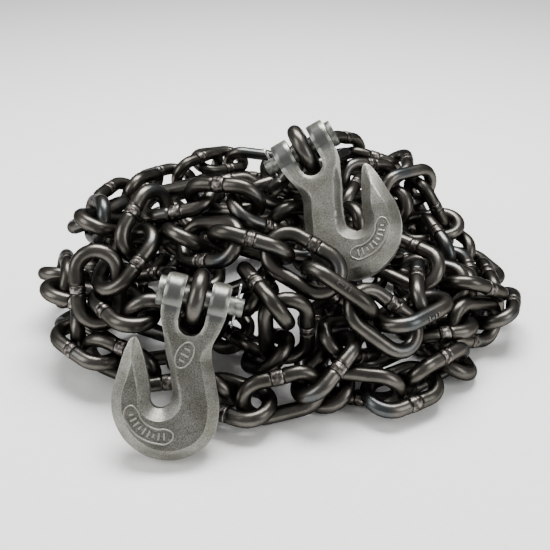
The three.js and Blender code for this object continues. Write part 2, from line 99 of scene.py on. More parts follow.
def deselect():
    if bpy.context.object and bpy.context.object.mode != "OBJECT":
        bpy.ops.object.mode_set(mode="OBJECT")
    bpy.ops.object.select_all(action="DESELECT")


def only(piece):
    """Makes one piece the selected and active one."""
    deselect()
    piece.select_set(True)
    bpy.context.view_layer.objects.active = piece


def edit(piece):
    """Opens a piece for editing with all of its points selected."""
    only(piece)
    bpy.ops.object.mode_set(mode="EDIT")
    bpy.ops.mesh.select_mode(type="VERT")
    bpy.ops.mesh.select_all(action="SELECT")


def close_edit(piece):
    bmesh.update_edit_mesh(piece.data)
    bpy.ops.object.mode_set(mode="OBJECT")


def settle_transform(piece):
    """Puts the piece's place into its mesh, so that the object sits at the origin."""
    only(piece)
    bpy.ops.object.transform_apply(location=True, rotation=True, scale=True)


def new_piece(name):
    piece = bpy.context.object
    piece.name = name
    piece.data.name = name
    return piece


def apply_modifiers(piece):
    only(piece)
    for modifier in list(piece.modifiers):
        bpy.ops.object.modifier_apply(modifier=modifier.name)


def cut(piece, tool, operation="DIFFERENCE"):
    """Cuts a tool out of a piece, or joins it on, and throws the tool away."""
    modifier = piece.modifiers.new("cut", "BOOLEAN")
    modifier.operation = operation
    modifier.solver = "EXACT"
    modifier.object = tool
    apply_modifiers(piece)
    bpy.data.objects.remove(tool)


def cylinder(name, sides, radius, length, place, turn):
    bpy.ops.mesh.primitive_cylinder_add(vertices=sides, radius=radius, depth=length,
                                        location=place, rotation=turn)
    made = new_piece(name)
    settle_transform(made)
    return made


def rounded_bar(name, size, place, turn, edge):
    """A small bar with rounded edges, turned about y."""
    bpy.ops.mesh.primitive_cube_add(size=1.0, location=(0, 0, 0))
    bar = new_piece(name)
    bar.scale = size
    bar.rotation_euler = (0, turn, 0)
    bar.location = place
    settle_transform(bar)
    bevel = bar.modifiers.new("bevel", "BEVEL")
    bevel.width = edge
    bevel.segments = 2
    apply_modifiers(bar)
    return bar


def round_wire(name, points, radius, closed, facets, steps):
    """Round wire bent smoothly through points. facets and steps say how finely it is drawn round itself
    and from one point to the next."""
    curve = bpy.data.curves.new(name, "CURVE")
    curve.dimensions = "3D"
    curve.bevel_depth = radius
    curve.bevel_resolution = facets
    curve.resolution_u = steps
    curve.use_fill_caps = not closed
    spline = curve.splines.new("BEZIER")
    spline.bezier_points.add(len(points) - 1)
    for point, place in zip(spline.bezier_points, points):
        point.co = place
        point.handle_left_type = point.handle_right_type = "AUTO"
    spline.use_cyclic_u = closed
    wire = bpy.data.objects.new(name, curve)
    bpy.context.collection.objects.link(wire)
    only(wire)
    bpy.ops.object.convert(target="MESH")
    return new_piece(name)


def join(pieces, name):
    only(pieces[0])
    for piece in pieces[1:]:
        piece.select_set(True)
    bpy.ops.object.join()
    return new_piece(name)


def smooth(piece, angle):
    only(piece)
    bpy.ops.object.shade_smooth_by_angle(angle=math.radians(angle))


def paint(piece, name, value_at):
    """Stores a number from 0 to 1 on every vertex for the material to read."""
    layer = piece.data.attributes.new(name, "FLOAT", "POINT")
    layer.data.foreach_set("value", [value_at(vertex.co) for vertex in piece.data.vertices])


def ramp(value, low, high):
    """0 below low, 1 above high, smooth between them."""
    t = min(max((value - low) / (high - low), 0.0), 1.0)
    return t * t * (3 - 2 * t)


def put(source, name, matrix, node, body):
    """A copy of a finished piece with its own mesh, placed, riding on its body and standing for its node."""
    mesh = source.data.copy()
    mesh.name = name
    mesh.transform(matrix)
    piece = bpy.data.objects.new(name, mesh)
    bpy.context.collection.objects.link(piece)
    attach(piece, body)
    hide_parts(node)
    return piece


# ---- Materials ------------------------------------------------------------------------------------

def rgb(hex_code):
    """An sRGB hex colour as linear red, green, blue, alpha."""
    parts = [int(hex_code[k:k + 2], 16) / 255 for k in (1, 3, 5)]
    return tuple(c / 12.92 if c <= 0.04045 else ((c + 0.055) / 1.055) ** 2.4 for c in parts) + (1.0,)


def add(material, kind, settings=None, links=None, stops=None):
    """Adds one node. settings are its properties and its sockets' values, links the sockets it reads."""
    made = material.node_tree.nodes.new(kind)
    for key, value in (settings or {}).items():
        if isinstance(key, str) and hasattr(made, key):
            setattr(made, key, value)
        else:
            made.inputs[key].default_value = value
    for key, source in (links or {}).items():
        material.node_tree.links.new(source, made.inputs[key])
    if stops:
        while len(made.color_ramp.elements) < len(stops):
            made.color_ramp.elements.new(0.5)
        for element, (position, color) in zip(made.color_ramp.elements, stops):
            element.position = position
            element.color = color
    return made


def new_material(name):
    material = bpy.data.materials.new(name)
    material.use_nodes = True
    material.node_tree.nodes.clear()
    return material


def grey(value):
    return (value, value, value, 1.0)


def finish_material(material, shader):
    add(material, "ShaderNodeOutputMaterial", links={"Surface": shader.outputs["BSDF"]})
    return material


def drawn_wire_steel():
    """Self-coloured welded chain: drawn carbon steel bent hot and tumbled in oil, so dark and semi-gloss,
    with brown and blue-grey patches, rubbed crowns and rough weld collars, and painted shade darkening the
    undercut beside them."""
    material = new_material("drawn_wire_steel")
    place = add(material, "ShaderNodeTexCoord").outputs["Object"]
    patches = add(material, "ShaderNodeTexNoise", {"Scale": 1 / (26 * MM), "Detail": 3.0}, {"Vector": place})
    tint = add(material, "ShaderNodeValToRGB", links={"Fac": patches.outputs["Fac"]},
               stops=[(0.3, rgb("#3b3934")), (0.45, rgb("#4b4944")),
                      (0.55, rgb("#5a5651")), (0.68, rgb("#484b4b"))])
    # flecks of scale, half a millimetre across in life and drawn at 1.1 mm so that they show
    flecks = add(material, "ShaderNodeTexNoise", {"Scale": 1 / (1.1 * MM), "Detail": 5.0, "Roughness": 0.65},
                 {"Vector": place})
    fleck_mask = add(material, "ShaderNodeValToRGB", links={"Fac": flecks.outputs["Fac"]},
                     stops=[(0.56, grey(0.0)), (0.74, grey(1.0))])
    flecked = add(material, "ShaderNodeMix", {"data_type": "RGBA", 7: rgb("#221f1c")},
                  {0: fleck_mask.outputs["Color"], 6: tint.outputs["Color"]})
    rub = add(material, "ShaderNodeAttribute", {"attribute_name": "rub"})
    rub_amount = add(material, "ShaderNodeMath", {"operation": "MULTIPLY"},
                     {0: rub.outputs["Fac"], 1: patches.outputs["Fac"]})
    rubbed = add(material, "ShaderNodeMix", {"data_type": "RGBA", 7: rgb("#7d7975")},
                 {0: rub_amount.outputs["Value"], 6: flecked.outputs[2]})
    weld = add(material, "ShaderNodeAttribute", {"attribute_name": "weld"})
    spatter = add(material, "ShaderNodeTexNoise", {"Scale": 1 / (2.6 * MM), "Detail": 4.0}, {"Vector": place})
    weld_color = add(material, "ShaderNodeValToRGB", links={"Fac": spatter.outputs["Fac"]},
                     stops=[(0.4, rgb("#37342f")), (0.52, rgb("#5f5a56")), (0.66, rgb("#97918d"))])
    welded = add(material, "ShaderNodeMix", {"data_type": "RGBA"},
                 {0: weld.outputs["Fac"], 6: rubbed.outputs[2], 7: weld_color.outputs["Color"]})
    # painted shade: the weld's undercut is coloured almost black where shade falls in it, on top of the real
    # undercut in the mesh
    undercut_shade = add(material, "ShaderNodeAttribute", {"attribute_name": "undercut_shade"})
    color = add(material, "ShaderNodeMix", {"data_type": "RGBA", 7: rgb("#0d0c0b")},
                {0: undercut_shade.outputs["Fac"], 6: welded.outputs[2]})
    plain_gloss = add(material, "ShaderNodeMapRange", {"To Min": 0.25, "To Max": 0.37},
                      {"Value": flecks.outputs["Fac"]})
    gloss = add(material, "ShaderNodeMix", {"data_type": "FLOAT", 3: 0.36},
                {0: weld.outputs["Fac"], 2: plain_gloss.outputs["Result"]})
    skin = add(material, "ShaderNodeBump", {"Strength": 0.35, "Distance": 0.06 * MM},
               {"Height": flecks.outputs["Fac"]})
    burr_height = add(material, "ShaderNodeMath", {"operation": "MULTIPLY"},
                      {0: weld.outputs["Fac"], 1: spatter.outputs["Fac"]})
    burr = add(material, "ShaderNodeBump", {"Strength": 0.6, "Distance": 0.3 * MM},
               {"Height": burr_height.outputs["Value"], "Normal": skin.outputs["Normal"]})
    # scale and oil take the shine off at a glancing angle, so the wire's edges stay dark
    shader = add(material, "ShaderNodeBsdfPrincipled",
                 {"Metallic": 1.0, "Specular Tint": rgb("#6b6967"),
                  "Coat Weight": 0.15, "Coat Roughness": 0.28},
                 {"Base Color": color.outputs[2], "Roughness": gloss.outputs[0],
                  "Normal": burr.outputs["Normal"]})
    return finish_material(material, shader)


def blasted_forging():
    """Drop-forged hook, shot-blasted: matt light grey with a fine grit, brighter where edges have rubbed,
    and darker and smoother on the ground flanks of the ears."""
    material = new_material("blasted_forging")
    place = add(material, "ShaderNodeTexCoord").outputs["Object"]
    # shot dents, 0.4 mm across in life and drawn at 0.6 mm so that they show
    grit = add(material, "ShaderNodeTexNoise", {"Scale": 1 / (0.6 * MM), "Detail": 3.0, "Roughness": 0.6},
               {"Vector": place})
    clouds = add(material, "ShaderNodeTexNoise", {"Scale": 1 / (14 * MM), "Detail": 2.0}, {"Vector": place})
    speckle = add(material, "ShaderNodeValToRGB", links={"Fac": grit.outputs["Fac"]},
                  stops=[(0.32, rgb("#565652")), (0.5, rgb("#7a7a74")), (0.68, rgb("#9b9b94"))])
    cloud_color = add(material, "ShaderNodeValToRGB", links={"Fac": clouds.outputs["Fac"]},
                      stops=[(0.35, rgb("#d4d3cc")), (0.65, rgb("#ffffff"))])
    clouded = add(material, "ShaderNodeMix", {"data_type": "RGBA", "blend_type": "MULTIPLY", 0: 1.0},
                  {6: speckle.outputs["Color"], 7: cloud_color.outputs["Color"]})
    ground = add(material, "ShaderNodeAttribute", {"attribute_name": "ground"})
    grounded = add(material, "ShaderNodeMix", {"data_type": "RGBA", 7: rgb("#696b68")},
                   {0: ground.outputs["Fac"], 6: clouded.outputs[2]})
    corners = add(material, "ShaderNodeNewGeometry")
    worn = add(material, "ShaderNodeValToRGB", links={"Fac": corners.outputs["Pointiness"]},
               stops=[(0.52, grey(0.0)), (0.6, grey(1.0))])
    color = add(material, "ShaderNodeMix", {"data_type": "RGBA", 7: rgb("#aeada5")},
                {0: worn.outputs["Color"], 6: grounded.outputs[2]})
    gloss = add(material, "ShaderNodeMix", {"data_type": "FLOAT", 2: 0.44, 3: 0.3},
                {0: ground.outputs["Fac"]})
    dents = add(material, "ShaderNodeBump", {"Strength": 0.5, "Distance": 0.09 * MM},
                {"Height": grit.outputs["Fac"]})
    shader = add(material, "ShaderNodeBsdfPrincipled", {"Metallic": 0.92},
                 {"Base Color": color.outputs[2], "Roughness": gloss.outputs[0],
                  "Normal": dents.outputs["Normal"]})
    return finish_material(material, shader)


def headed_pin_steel():
    """Cold-headed clevis pin: plain steel with a dull, slightly oily skin and fine drawing marks."""
    material = new_material("headed_pin_steel")
    place = add(material, "ShaderNodeTexCoord").outputs["Object"]
    skin = add(material, "ShaderNodeTexNoise", {"Scale": 1 / (2.4 * MM), "Detail": 5.0}, {"Vector": place})
    color = add(material, "ShaderNodeValToRGB", links={"Fac": skin.outputs["Fac"]},
                stops=[(0.35, rgb("#5d5e5a")), (0.55, rgb("#83847e")), (0.7, rgb("#989992"))])
    gloss = add(material, "ShaderNodeMapRange", {"To Min": 0.34, "To Max": 0.56},
                {"Value": skin.outputs["Fac"]})
    marks = add(material, "ShaderNodeBump", {"Strength": 0.3, "Distance": 0.08 * MM},
                {"Height": skin.outputs["Fac"]})
    shader = add(material, "ShaderNodeBsdfPrincipled", {"Metallic": 1.0},
                 {"Base Color": color.outputs["Color"], "Roughness": gloss.outputs["Result"],
                  "Normal": marks.outputs["Normal"]})
    return finish_material(material, shader)


def zinc_plate():
    """Zinc-plated split pin wire: bright, cool and slightly mottled."""
    material = new_material("zinc_plate")
    place = add(material, "ShaderNodeTexCoord").outputs["Object"]
    mottle = add(material, "ShaderNodeTexNoise", {"Scale": 1 / (1.2 * MM), "Detail": 3.0}, {"Vector": place})
    color = add(material, "ShaderNodeValToRGB", links={"Fac": mottle.outputs["Fac"]},
                stops=[(0.35, rgb("#a9adae")), (0.65, rgb("#dfe2e2"))])
    gloss = add(material, "ShaderNodeMapRange", {"To Min": 0.16, "To Max": 0.32},
                {"Value": mottle.outputs["Fac"]})
    shader = add(material, "ShaderNodeBsdfPrincipled", {"Metallic": 1.0},
                 {"Base Color": color.outputs["Color"], "Roughness": gloss.outputs["Result"]})
    return finish_material(material, shader)


def studio_paper():
    """Pale matt paper under the object."""
    material = new_material("studio_paper")
    place = add(material, "ShaderNodeTexCoord").outputs["Object"]
    fibre = add(material, "ShaderNodeTexNoise", {"Scale": 1 / (3 * MM), "Detail": 2.0}, {"Vector": place})
    color = add(material, "ShaderNodeValToRGB", links={"Fac": fibre.outputs["Fac"]},
                stops=[(0.3, rgb("#f3f3f1")), (0.7, rgb("#f7f7f5"))])
    shader = add(material, "ShaderNodeBsdfPrincipled", {"Roughness": 0.9},
                 {"Base Color": color.outputs["Color"]})
    return finish_material(material, shader)


# ---- Chain links ----------------------------------------------------------------------------------

# A weld is (half the collar's length, how proud it stands, how proud its trimmed ridge is), in mm
WELDS = ((2.8, 0.24, 0.16), (2.2, 0.16, 0.24), (3.4, 0.30, 0.08))
GROOVE = 0.4  # mm, how deep the undercut at each end of a weld collar is
# How far beyond the collar the painted shade in the weld's undercut begins, is full, begins to fade and has gone
UNDERCUT_SHADE_SPAN = (-0.1 * MM, 0.3 * MM, 0.4 * MM, 0.8 * MM)
WELD_FADE = 0.5 * MM  # how far the collar's colour runs out past its end
LEG_STEPS = 4  # rings along the unwelded leg
RUB_FULL = 0.46 * WIRE  # the rubbed patch inside a crown is this far inside the wire's centreline
RUB_NONE = 0.2 * WIRE  # and has run out here


def weld_profile(collar, proud, ridge):
    """Where a welded leg's rings go, in mm from the weld line, and how far each stands off the wire."""
    return [(0.0, proud + ridge), (0.35, proud + 0.6 * ridge), (0.75, proud), (collar * 0.55, proud * 1.1),
            (collar - 0.25, proud * 0.9), (collar, 0.1), (collar + 0.35, -GROOVE), (collar + 0.8, 0.02),
            (collar + 2.2, 0.12), (collar + 4.2, 0.0), (BAR_END / MM, 0.0)]


def extrude_ring(offset, scale=1.0, middle=(0.0, 0.0, 0.0)):
    """Extrudes the selected open ring and scales the new one about its own middle."""
    bpy.ops.mesh.extrude_region_move(TRANSFORM_OT_translate={"value": offset})
    if abs(scale - 1.0) > 1e-6:
        bpy.ops.transform.resize(value=(scale, scale, 1.0), center_override=middle)


def model_link(name, weld):
    """One closed link, its legs along z with the weld on the +x leg and its face square to y."""
    radius = WIRE / 2 - PLAY
    profile = weld_profile(*weld)
    height, size = 0.0, radius + profile[0][1] * MM
    bpy.ops.mesh.primitive_circle_add(vertices=LINK_SIDES, radius=size, location=(0, 0, 0))
    link = new_piece(name)
    edit(link)
    bpy.ops.transform.translate(value=(BEND_RADIUS, 0, 0))
    for along, proud in profile[1:]:
        new_size = radius + proud * MM
        extrude_ring((0, 0, along * MM - height), new_size / size, (BEND_RADIUS, 0, along * MM))
        height, size = along * MM, new_size
    bpy.ops.mesh.spin(steps=CROWN_STEPS, angle=math.pi, center=(0, 0, BAR_END), axis=(0, 1, 0))
    for _ in range(LEG_STEPS):
        extrude_ring((0, 0, -2 * BAR_END / LEG_STEPS))
    bpy.ops.mesh.spin(steps=CROWN_STEPS, angle=math.pi, center=(0, 0, -BAR_END), axis=(0, 1, 0))
    height, size = -BAR_END, radius
    for along, proud in reversed(profile[:-1]):
        new_size = radius + proud * MM
        extrude_ring((0, 0, -along * MM - height), new_size / size, (BEND_RADIUS, 0, -along * MM))
        height, size = -along * MM, new_size
    bpy.ops.mesh.select_all(action="SELECT")
    bpy.ops.mesh.remove_doubles(threshold=0.01 * MM)
    bpy.ops.mesh.normals_make_consistent(inside=False)
    close_edit(link)
    smooth(link, 50)
    collar = weld[0] * MM
    paint(link, "weld", lambda at: (1 - ramp(abs(at.z), collar, collar + WELD_FADE)) if at.x > 0 else 0.0)
    # painted shade in the weld's undercut, beside the real undercut in the ring profile
    paint(link, "undercut_shade", lambda at: undercut_shade_amount(abs(at.z) - collar) if at.x > 0 else 0.0)
    paint(link, "rub", crown_rub)
    return link


def undercut_shade_amount(beyond):
    """How much painted shade darkens the weld's undercut at a point, from how far it is beyond the collar."""
    return ramp(beyond, *UNDERCUT_SHADE_SPAN[:2]) * (1 - ramp(beyond, *UNDERCUT_SHADE_SPAN[2:]))


def crown_rub(at):
    """How much a point lies on the inside of a crown, where the next link rubs."""
    beyond = abs(at.z) - BAR_END
    if beyond < 0:
        return 0.0
    return 1 - ramp(math.hypot(at.x, beyond), BEND_RADIUS - RUB_FULL, BEND_RADIUS - RUB_NONE)


GRADE_BARS = ((0.9, 3.0), (0.9, 3.0), (2.4, 1.0), (0.9, 3.0))  # length and width of each, in mm
GRADE_BAR_STEP = 2.6  # mm from one to the next
GRADE_BAR_THICKNESS = 0.9 * MM
GRADE_BAR_SINK = 0.15 * MM  # how far its middle is below the wire's surface
GRADE_BAR_EDGE = 0.22 * MM
GRADE_BAR_RUB = 0.6


def model_marked_link(name, weld):
    """A link with raised bars down the outside of its unwelded leg, which stand for its grade marks."""
    link = model_link(name, weld)
    parts = [link]
    outside = -BEND_RADIUS - WIRE / 2
    first = -GRADE_BAR_STEP * (len(GRADE_BARS) - 1) / 2
    for step, (length, width) in enumerate(GRADE_BARS):
        place = (outside + GRADE_BAR_SINK, 0, (first + step * GRADE_BAR_STEP) * MM)
        size = (GRADE_BAR_THICKNESS, width * MM, length * MM)
        bar = rounded_bar(name + "_bar", size, place, 0, GRADE_BAR_EDGE)
        paint(bar, "weld", lambda at: 0.0)
        paint(bar, "undercut_shade", lambda at: 0.0)
        paint(bar, "rub", lambda at: GRADE_BAR_RUB)
        parts.append(bar)
    return join(parts, name)


PEG_EDGE = 4.4 * MM  # the pegs that join the model's links have no edge longer than this
LEAST_TRIANGLES = 40  # what is left of a link has more triangles than this, and a scrap has fewer


def islands(mesh):
    """The model's links inside one node: what is left in one piece when the small pegs are taken out."""
    solid = bmesh.new()
    solid.from_mesh(mesh)
    bmesh.ops.remove_doubles(solid, verts=solid.verts, dist=0.001 * MM)
    small = [face for face in solid.faces if max(edge.calc_length() for edge in face.edges) < PEG_EDGE]
    bmesh.ops.delete(solid, geom=small, context="FACES")
    left = set(solid.faces)
    found = []
    for first in solid.faces:
        if first not in left:
            continue
        left.remove(first)
        island = [first]
        for face in island:
            for edge in face.edges:
                for beside in edge.link_faces:
                    if beside in left:
                        left.remove(beside)
                        island.append(beside)
        triangles = [[vertex.co.copy() for vertex in face.verts] for face in island if len(face.verts) == 3]
        if len(triangles) > LEAST_TRIANGLES:
            found.append(np.array(triangles))
    solid.free()
    return found


UP_AND_FRONT = Vector((0.0, -0.35, 0.94))
WELD_SHOWN = 0.8  # the share of links that lie with their weld towards the top and front
KIND_SHARES = (5, 4, 4, 3)  # how often each kind of link is dealt
DEAL = 8  # the seed of the draw that deals them


def link_place(triangles, chance):
    """The matrix that lays a link on an island: its middle, its long axis along z, its face square to y.
    chance, from 0 to 1, decides which leg has the weld."""
    a, b, c = triangles[:, 0], triangles[:, 1], triangles[:, 2]
    areas = np.linalg.norm(np.cross(b - a, c - a), axis=1) / 2
    centre = ((a + b + c) / 3 * areas[:, None]).sum(axis=0) / areas.sum()
    a, b, c = a - centre, b - centre, c - centre
    total = a + b + c
    spread = sum(np.einsum("n,ni,nj->ij", areas / 12, part, part) for part in (a, b, c, total))
    _, axes = np.linalg.eigh(spread)
    long_axis = Vector(axes[:, 2])
    normal = Vector(axes[:, 0])
    side = normal.cross(long_axis)
    if (side.dot(UP_AND_FRONT) < 0) == (chance < WELD_SHOWN):
        side, normal = -side, -normal
    return Matrix.Translation(Vector(centre)) @ Matrix((side, normal, long_axis)).transposed().to_4x4()


def lay_chain(chain_steel):
    """Lays a fine link on every link of the model, each its own piece."""
    kinds = [model_link(f"link_kind_{k}", weld) for k, weld in enumerate(WELDS)]
    kinds.append(model_marked_link("link_kind_marked", WELDS[0]))
    for kind in kinds:
        kind.data.materials.append(chain_steel)
    draw = random.Random(DEAL)
    count = 0
    for node in sorted(frame["nodes"]):
        if "link" not in node and "run" not in node:
            continue
        body = "chain" if "run" in node else node
        for triangles in islands(frame["nodes"][node].data):
            count += 1
            place = link_place(triangles, draw.random())
            kind = kinds[draw.choices(range(len(kinds)), weights=KIND_SHARES)[0]]
            put(kind, f"link_{count:03d}", place, node, body)
    for kind in kinds:
        bpy.data.objects.remove(kind)
    print("links laid:", count)


# ---- Hooks ----------------------------------------------------------------------------------------

# The hook's outline in mm, x across and z up from the pin's middle, in order round it. A corner is
# marked with a third value; the rest are joined by smooth curves.
CORNER = 1
HOOK_OUTLINE = (
    (-9.0, 11.4, CORNER), (-7.7, 10.9), (-7.3, 9.7, CORNER), (-7.3, -13.7, CORNER), (-5.2, -18.9), (0, -21),
    (5.2, -18.9), (7.3, -13.7, CORNER), (7.3, 9.7, CORNER), (7.7, 10.9), (9.0, 11.4, CORNER),
    (15.2, 11.4, CORNER), (17.1, 10.7), (17.8, 8.8, CORNER), (17.8, -8, CORNER), (16.4, -15), (14.2, -25),
    (20.3, -42.4), (26, -59), (24.6, -75), (14.5, -86), (1, -90.5), (-13, -88.4), (-26, -79), (-33, -64),
    (-33, -49), (-31.6, -34), (-30.2, -29.6), (-28.1, -28.3), (-26.2, -29.6), (-23.9, -33), (-18.2, -44),
    (-13.6, -55), (-11.6, -61.6), (-7.3, -63.5), (-3, -61.6), (-1.2, -57.6), (-4.6, -44), (-10.2, -32),
    (-13, -23), (-16.6, -14), (-17.8, -8, CORNER), (-17.8, 8.8, CORNER), (-17.1, 10.7),
    (-15.2, 11.4, CORNER),
)
OUTLINE_STEP = 0.8 * MM
FORK_RISE = (-33 * MM, -20 * MM)  # the shank turns into the fork between these heights


def outline_loop():
    """The hook's outline as a closed ring of close points, drawn as a Bezier curve."""
    curve = bpy.data.curves.new("hook_outline", "CURVE")
    curve.dimensions = "2D"
    curve.resolution_u = 9
    spline = curve.splines.new("BEZIER")
    spline.bezier_points.add(len(HOOK_OUTLINE) - 1)
    for point, (x, z, *corner) in zip(spline.bezier_points, HOOK_OUTLINE):
        point.co = (x * MM, z * MM, 0)
        kind = "VECTOR" if corner else "AUTO"
        point.handle_left_type = point.handle_right_type = kind
    spline.use_cyclic_u = True
    drawn = bpy.data.objects.new("hook_outline", curve)
    bpy.context.collection.objects.link(drawn)
    only(drawn)
    bpy.ops.object.convert(target="MESH")
    drawn = bpy.context.object
    ring = bmesh.new()
    ring.from_mesh(drawn.data)
    bmesh.ops.remove_doubles(ring, verts=ring.verts, dist=0.05 * MM)
    ring.edges.ensure_lookup_table()
    edge = ring.edges[0]
    first = corner = edge.verts[0]
    points = []
    while not points or corner is not first:
        points.append(corner.co.to_2d())
        corner = edge.other_vert(corner)
        edge = next(other for other in corner.link_edges if other is not edge)
    ring.free()
    bpy.data.objects.remove(drawn)
    return even_out(points, OUTLINE_STEP)


def even_out(points, step):
    """Splits the long sides of a ring so that none is much longer than step."""
    evened = []
    for here, there in zip(points, points[1:] + points[:1]):
        pieces = max(1, round((there - here).length / step))
        evened += [here.lerp(there, k / pieces) for k in range(pieces)]
    return evened


def fork_share(z):
    """1 in the clevis fork, 0 in the shank and bowl."""
    return ramp(z, *FORK_RISE)


def edge_distance(points, loop):
    """How far each point is from the outline, on either side of it."""
    starts = np.array(loop)
    ends = np.roll(starts, -1, axis=0)
    spans = ends - starts
    lengths = (spans ** 2).sum(axis=1)
    gaps = points[:, None, :] - starts[None, :, :]
    t = np.clip((gaps * spans).sum(axis=2) / lengths, 0, 1)
    return np.linalg.norm(gaps - t[:, :, None] * spans, axis=2).min(axis=1)


# The rim's bevel
FORK_BEVEL = 2.1 * MM  # its width in the fork
BOWL_BEVEL = 6.2 * MM  # and in the shank and bowl
FORK_DROP = 0.9 * MM  # how far the rim lies below the cheek in the fork
BOWL_RIM = 0.36  # the rim's share of the full thickness in the shank and bowl
BEVEL_CURVE = 1.06  # 1 would be a straight bevel
LEAST_THICKNESS = 0.25 * MM

# The nose lies beyond NOSE_SIDE, and loses NOSE_TAPER of its thickness from its root to its tip
NOSE_SIDE = -15 * MM
NOSE_ROOT = -58 * MM
NOSE_TIP = -30 * MM
NOSE_TAPER = 0.42

# The shank's bevel along the throat is narrower. The throat's middle goes up from THROAT_FOOT and leans
# by THROAT_LEAN, and the narrowing comes in between two heights and goes out between two places across.
THROAT_FOOT = (-7 * MM, -57 * MM)
THROAT_LEAN = 0.42
NARROWER = 3.0 * MM
NARROW_UP = (-62 * MM, -44 * MM)
NARROW_ACROSS = (2 * MM, 8 * MM)

# The curved panel on the bowl, in mm and degrees
KIDNEY_CENTRE = (-5.0, -60.0)
KIDNEY_INNER = 13.6
KIDNEY_OUTER = 21.2
KIDNEY_START = 207
KIDNEY_END = 290
KIDNEY_STEPS = 5  # from one end of its rim's arcs to the other
PANEL_DEPTH = 0.45 * MM


def thickness(x, z, distance):
    """Half the forging's thickness at a point: flat cheeks, a wide bevel round the rim, round ear lugs
    about the pin, and a nose that tapers to a blunt horn."""
    fork = fork_share(z)
    lug = math.sqrt(max(EAR_RADIUS ** 2 - z * z, 0))
    full = lug if z > 0 else max(HOOK_HALF_THICKNESS, lug)
    if x < NOSE_SIDE and z > NOSE_ROOT and fork < 0.5:
        full *= 1 - NOSE_TAPER * ramp(z, NOSE_ROOT, NOSE_TIP)
    rim = (full - FORK_DROP) * fork + BOWL_RIM * full * (1 - fork)
    width = FORK_BEVEL * fork + BOWL_BEVEL * (1 - fork)
    throat_middle = THROAT_FOOT[0] - THROAT_LEAN * (z - THROAT_FOOT[1])
    if throat_middle < x < NARROW_ACROSS[1]:
        width -= NARROWER * ramp(z, *NARROW_UP) * (1 - ramp(x, *NARROW_ACROSS)) * (1 - fork)
    t = min(distance / width, 1.0)
    rounding = 1 - (1 - t) ** BEVEL_CURVE
    return max(rim + (full - rim) * rounding - panel_depth(x, z), LEAST_THICKNESS)


def panel_depth(x, z):
    """How far the curved panel on the bowl is pressed in."""
    radius = math.hypot(x / MM - KIDNEY_CENTRE[0], z / MM - KIDNEY_CENTRE[1])
    angle = math.degrees(math.atan2(z / MM - KIDNEY_CENTRE[1], x / MM - KIDNEY_CENTRE[0])) % 360
    pressed = KIDNEY_INNER < radius < KIDNEY_OUTER and KIDNEY_START < angle < KIDNEY_END
    return PANEL_DEPTH if pressed else 0.0


RIM_ROWS = (0.5, 1.1, 2.0, 3.2, 4.4, 5.6, 6.2, 6.8)  # mm in from the outline
ROW_SLACK = 0.08  # mm, how much nearer than its row a point may lie to another part of the outline
FIELD_STEP = 1.25 * MM
FORK_FOOT = -22 * MM
FORK_MARGIN = 1.3 * MM  # the field stays this far inside the outline in the fork
BOWL_MARGIN = 7.3 * MM  # and this far in the shank and bowl


def hook_plan(loop):
    """Points over the hook's face: the outline, rows that follow the rim, and an even field inside."""
    ring = np.array([list(point) for point in loop])
    rows = []
    ahead = np.roll(ring, -1, axis=0) - np.roll(ring, 1, axis=0)
    ahead /= np.linalg.norm(ahead, axis=1)[:, None]
    area = 0.5 * (ring[:, 0] * np.roll(ring[:, 1], -1) - np.roll(ring[:, 0], -1) * ring[:, 1]).sum()
    inward = np.stack((-ahead[:, 1], ahead[:, 0]), axis=1) * (1 if area > 0 else -1)
    for row in RIM_ROWS:
        offset = ring + inward * row * MM
        kept = edge_distance(offset, ring) > (row - ROW_SLACK) * MM
        rows.append(offset[kept])
    low, high = ring.min(axis=0), ring.max(axis=0)
    across, up = np.meshgrid(np.arange(low[0], high[0], FIELD_STEP), np.arange(low[1], high[1], FIELD_STEP))
    field = np.stack((across.ravel(), up.ravel()), axis=1)
    field = field[np.array([is_inside(point, ring) for point in field])]
    margin = np.where(field[:, 1] > FORK_FOOT, FORK_MARGIN, BOWL_MARGIN)
    rows.append(field[edge_distance(field, ring) > margin])
    return ring, np.concatenate(rows)


def is_inside(point, ring):
    """Whether a point is inside the ring, from how many of its sides lie straight across from the point."""
    x, z = point
    x0, z0 = ring[:, 0], ring[:, 1]
    x1, z1 = np.roll(x0, -1), np.roll(z0, -1)
    crosses = (z0 > z) != (z1 > z)
    at = x0 + (z - z0) * (x1 - x0) / np.where(z1 == z0, 1e-12, z1 - z0)
    return bool((crosses & (x < at)).sum() % 2)


def hook_body():
    """The forging: its plan filled with triangles, raised to its thickness on both sides and walled."""
    ring, rest = hook_plan(outline_loop())
    count = len(ring)
    points = [Vector(point) for point in np.concatenate((ring, rest))]
    edges = [(k, (k + 1) % count) for k in range(count)]
    flat, _, faces, *_ = delaunay_2d_cdt(points, edges, [list(range(count))], 1, 0.01 * MM)
    depth = edge_distance(np.array([list(point) for point in flat]), ring)
    solid = bmesh.new()
    sides = {}
    for sign in (-1, 1):
        sides[sign] = [solid.verts.new((point.x, sign * thickness(point.x, point.y, gap), point.y))
                       for point, gap in zip(flat, depth)]
        for face in faces:
            solid.faces.new([sides[sign][k] for k in face])
    rims = [edge for edge in solid.edges if edge.is_boundary]
    bmesh.ops.bridge_loops(solid, edges=rims)
    bmesh.ops.recalc_face_normals(solid, faces=solid.faces)
    mesh = bpy.data.meshes.new("hook")
    solid.to_mesh(mesh)
    solid.free()
    hook = bpy.data.objects.new("hook", mesh)
    bpy.context.collection.objects.link(hook)
    return hook


ALONG_PIN = (0, math.pi / 2, 0)
BEAD = 0.5 * MM  # radius of the panels' raised rims

# Bars that stand for the marks, in mm
MARK_THICKNESS = 1.1
MARK_EDGE = 0.25
KIDNEY_MARKS = 9
KIDNEY_MARGIN = 4  # degrees from the panel's end to the first bar's middle
MARK_LONG = 3.9
MARK_SHORT = 2.2
MARK_WIDTH = 1.0

